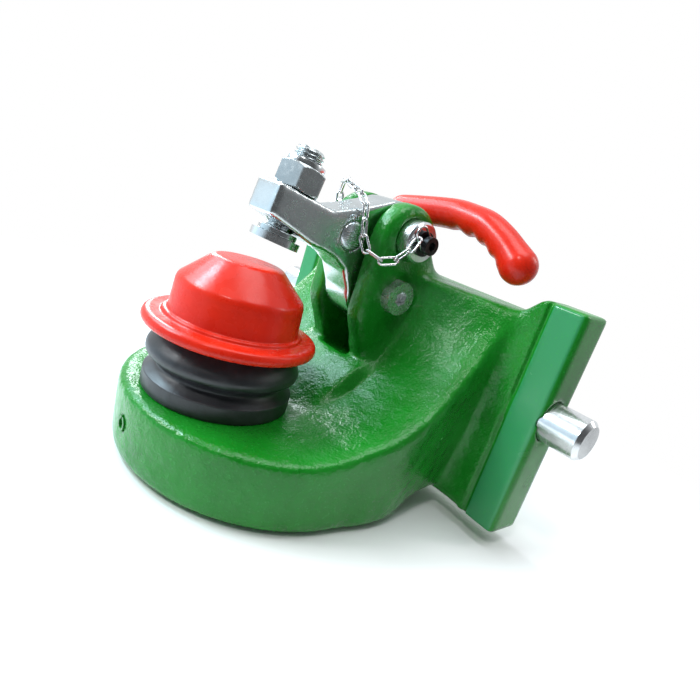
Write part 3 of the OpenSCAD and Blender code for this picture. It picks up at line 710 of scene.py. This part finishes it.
def aim_camera():
    """The camera that was fitted to the photograph."""
    data = bpy.data.cameras.new("camera")
    data.lens = 26.07
    data.sensor_width = 36
    camera = linked("camera", data)
    right, down, ahead = ((0.6081, 0.7342, 0.3018), (0.394, 0.0509, -0.9177),
                          (-0.6892, 0.677, -0.2583))
    axes = Matrix((right, [-v for v in down], [-v for v in ahead])).transposed().to_4x4()
    camera.matrix_world = Matrix.Translation((0.2920, -0.1737, 0.0947)) @ axes
    bpy.context.scene.camera = camera


def lay_floor():
    """A pale floor that runs out into the white of the studio."""
    reach, height, clear_from, clear_to = 40, FLOOR_Z * MM, 0.31, 0.64
    corners = [(-reach, -reach, height), (reach, -reach, height), (reach, reach, height),
               (-reach, reach, height)]
    floor = make_object("floor", corners, [(0, 1, 2, 3)], smooth=False)
    material, tree, shader = new_shader("pale_floor")
    base = mix(tree, noise(tree, place(tree), 3, 2), (0.87, 0.87, 0.87), (0.90, 0.90, 0.90))
    drive(tree, shader, Base_Color=base, Roughness=0.7, Specular_IOR_Level=0.2)
    away = add(tree, "VectorMath", {"operation": "LENGTH"}, i0=place(tree)).outputs["Value"]
    clear = add(tree, "BsdfTransparent")
    join = add(tree, "MixShader", None, i0=spread(tree, away, (clear_from, clear_to)),
               i1=shader.outputs[0], i2=clear.outputs[0])
    tree.links.new(join.outputs[0], tree.nodes["Material Output"].inputs[0])
    floor.data.materials.append(material)


def facing(tree, direction, span, to=(0, 1)):
    """How far the sky lies in a direction, mapped to a range."""
    coords = add(tree, "TexCoord").outputs["Generated"]
    dot = add(tree, "VectorMath", {"operation": "DOT_PRODUCT"}, i0=coords, i1=direction)
    return spread(tree, dot.outputs["Value"], span, to)


def light_world():
    world = bpy.data.worlds.new("studio")
    bpy.context.scene.world = world
    world.use_nodes = True
    tree = world.node_tree
    # A bright wall on the left and behind, a dimmer one on the right
    level = facing(tree, (-0.80, 0.55, 0.25), (-0.5, 0.5), (0.12, 0.95))
    # A bluish window on the left of the camera
    window = facing(tree, (-0.45, -0.87, -0.18), (0.70, 0.84))
    tint = mix(tree, window, (0.94, 0.98, 1), (0.66, 0.86, 1))
    level = math_node(tree, "ADD", level, math_node(tree, "MULTIPLY", window, 0.8))
    back = tree.nodes["Background"]
    tree.links.new(tint, back.inputs[0])
    tree.links.new(level, back.inputs[1])
    # The backdrop itself is white from every side
    white = add(tree, "Background", None, i0=(1, 1, 1, 1), i1=1.0)
    seen = add(tree, "LightPath").outputs["Is Camera Ray"]
    join = add(tree, "MixShader", None, i0=seen, i1=back.outputs[0], i2=white.outputs[0])
    tree.links.new(join.outputs[0], tree.nodes["World Output"].inputs[0])


def soft_light(name, place_at, size, power, tint=(1, 1, 1), target=(0, 0.05, 0)):
    data = bpy.data.lights.new(name, "AREA")
    data.shape = "RECTANGLE"
    data.size, data.size_y = size
    data.energy = power
    data.color = tint
    light = linked(name, data)
    light.location = place_at
    aim = Vector(target) - Vector(place_at)
    light.rotation_euler = aim.to_track_quat("-Z", "Y").to_euler()


aim_camera()
lay_floor()
light_world()
soft_light("key", (-0.55, -1.0, 0.85), (0.55, 0.3), 11, (0.92, 0.97, 1.0))
soft_light("fill_left", (-0.42, -0.40, 0.62), (0.22, 0.22), 5, (0.62, 0.86, 1.0),
           target=(-0.42, -0.40, -0.1))
soft_light("strip_left", (-1.1, 0.25, 0.55), (0.12, 0.7), 5, (0.86, 0.95, 1.0))
soft_light("veil", (-0.85, -0.30, 0.82), (0.8, 0.6), 9, (0.60, 0.86, 1.0))
soft_light("top", (0.10, 0.1, 1.1), (0.5, 0.8), 6, (0.90, 0.97, 1.0))
soft_light("rim", (0.55, 0.95, 0.7), (0.15, 0.5), 2)
soft_light("spot", (0.35, -0.6, 1.0), (0.14, 0.14), 3.0)
bpy.context.scene.view_settings.view_transform = "Standard"
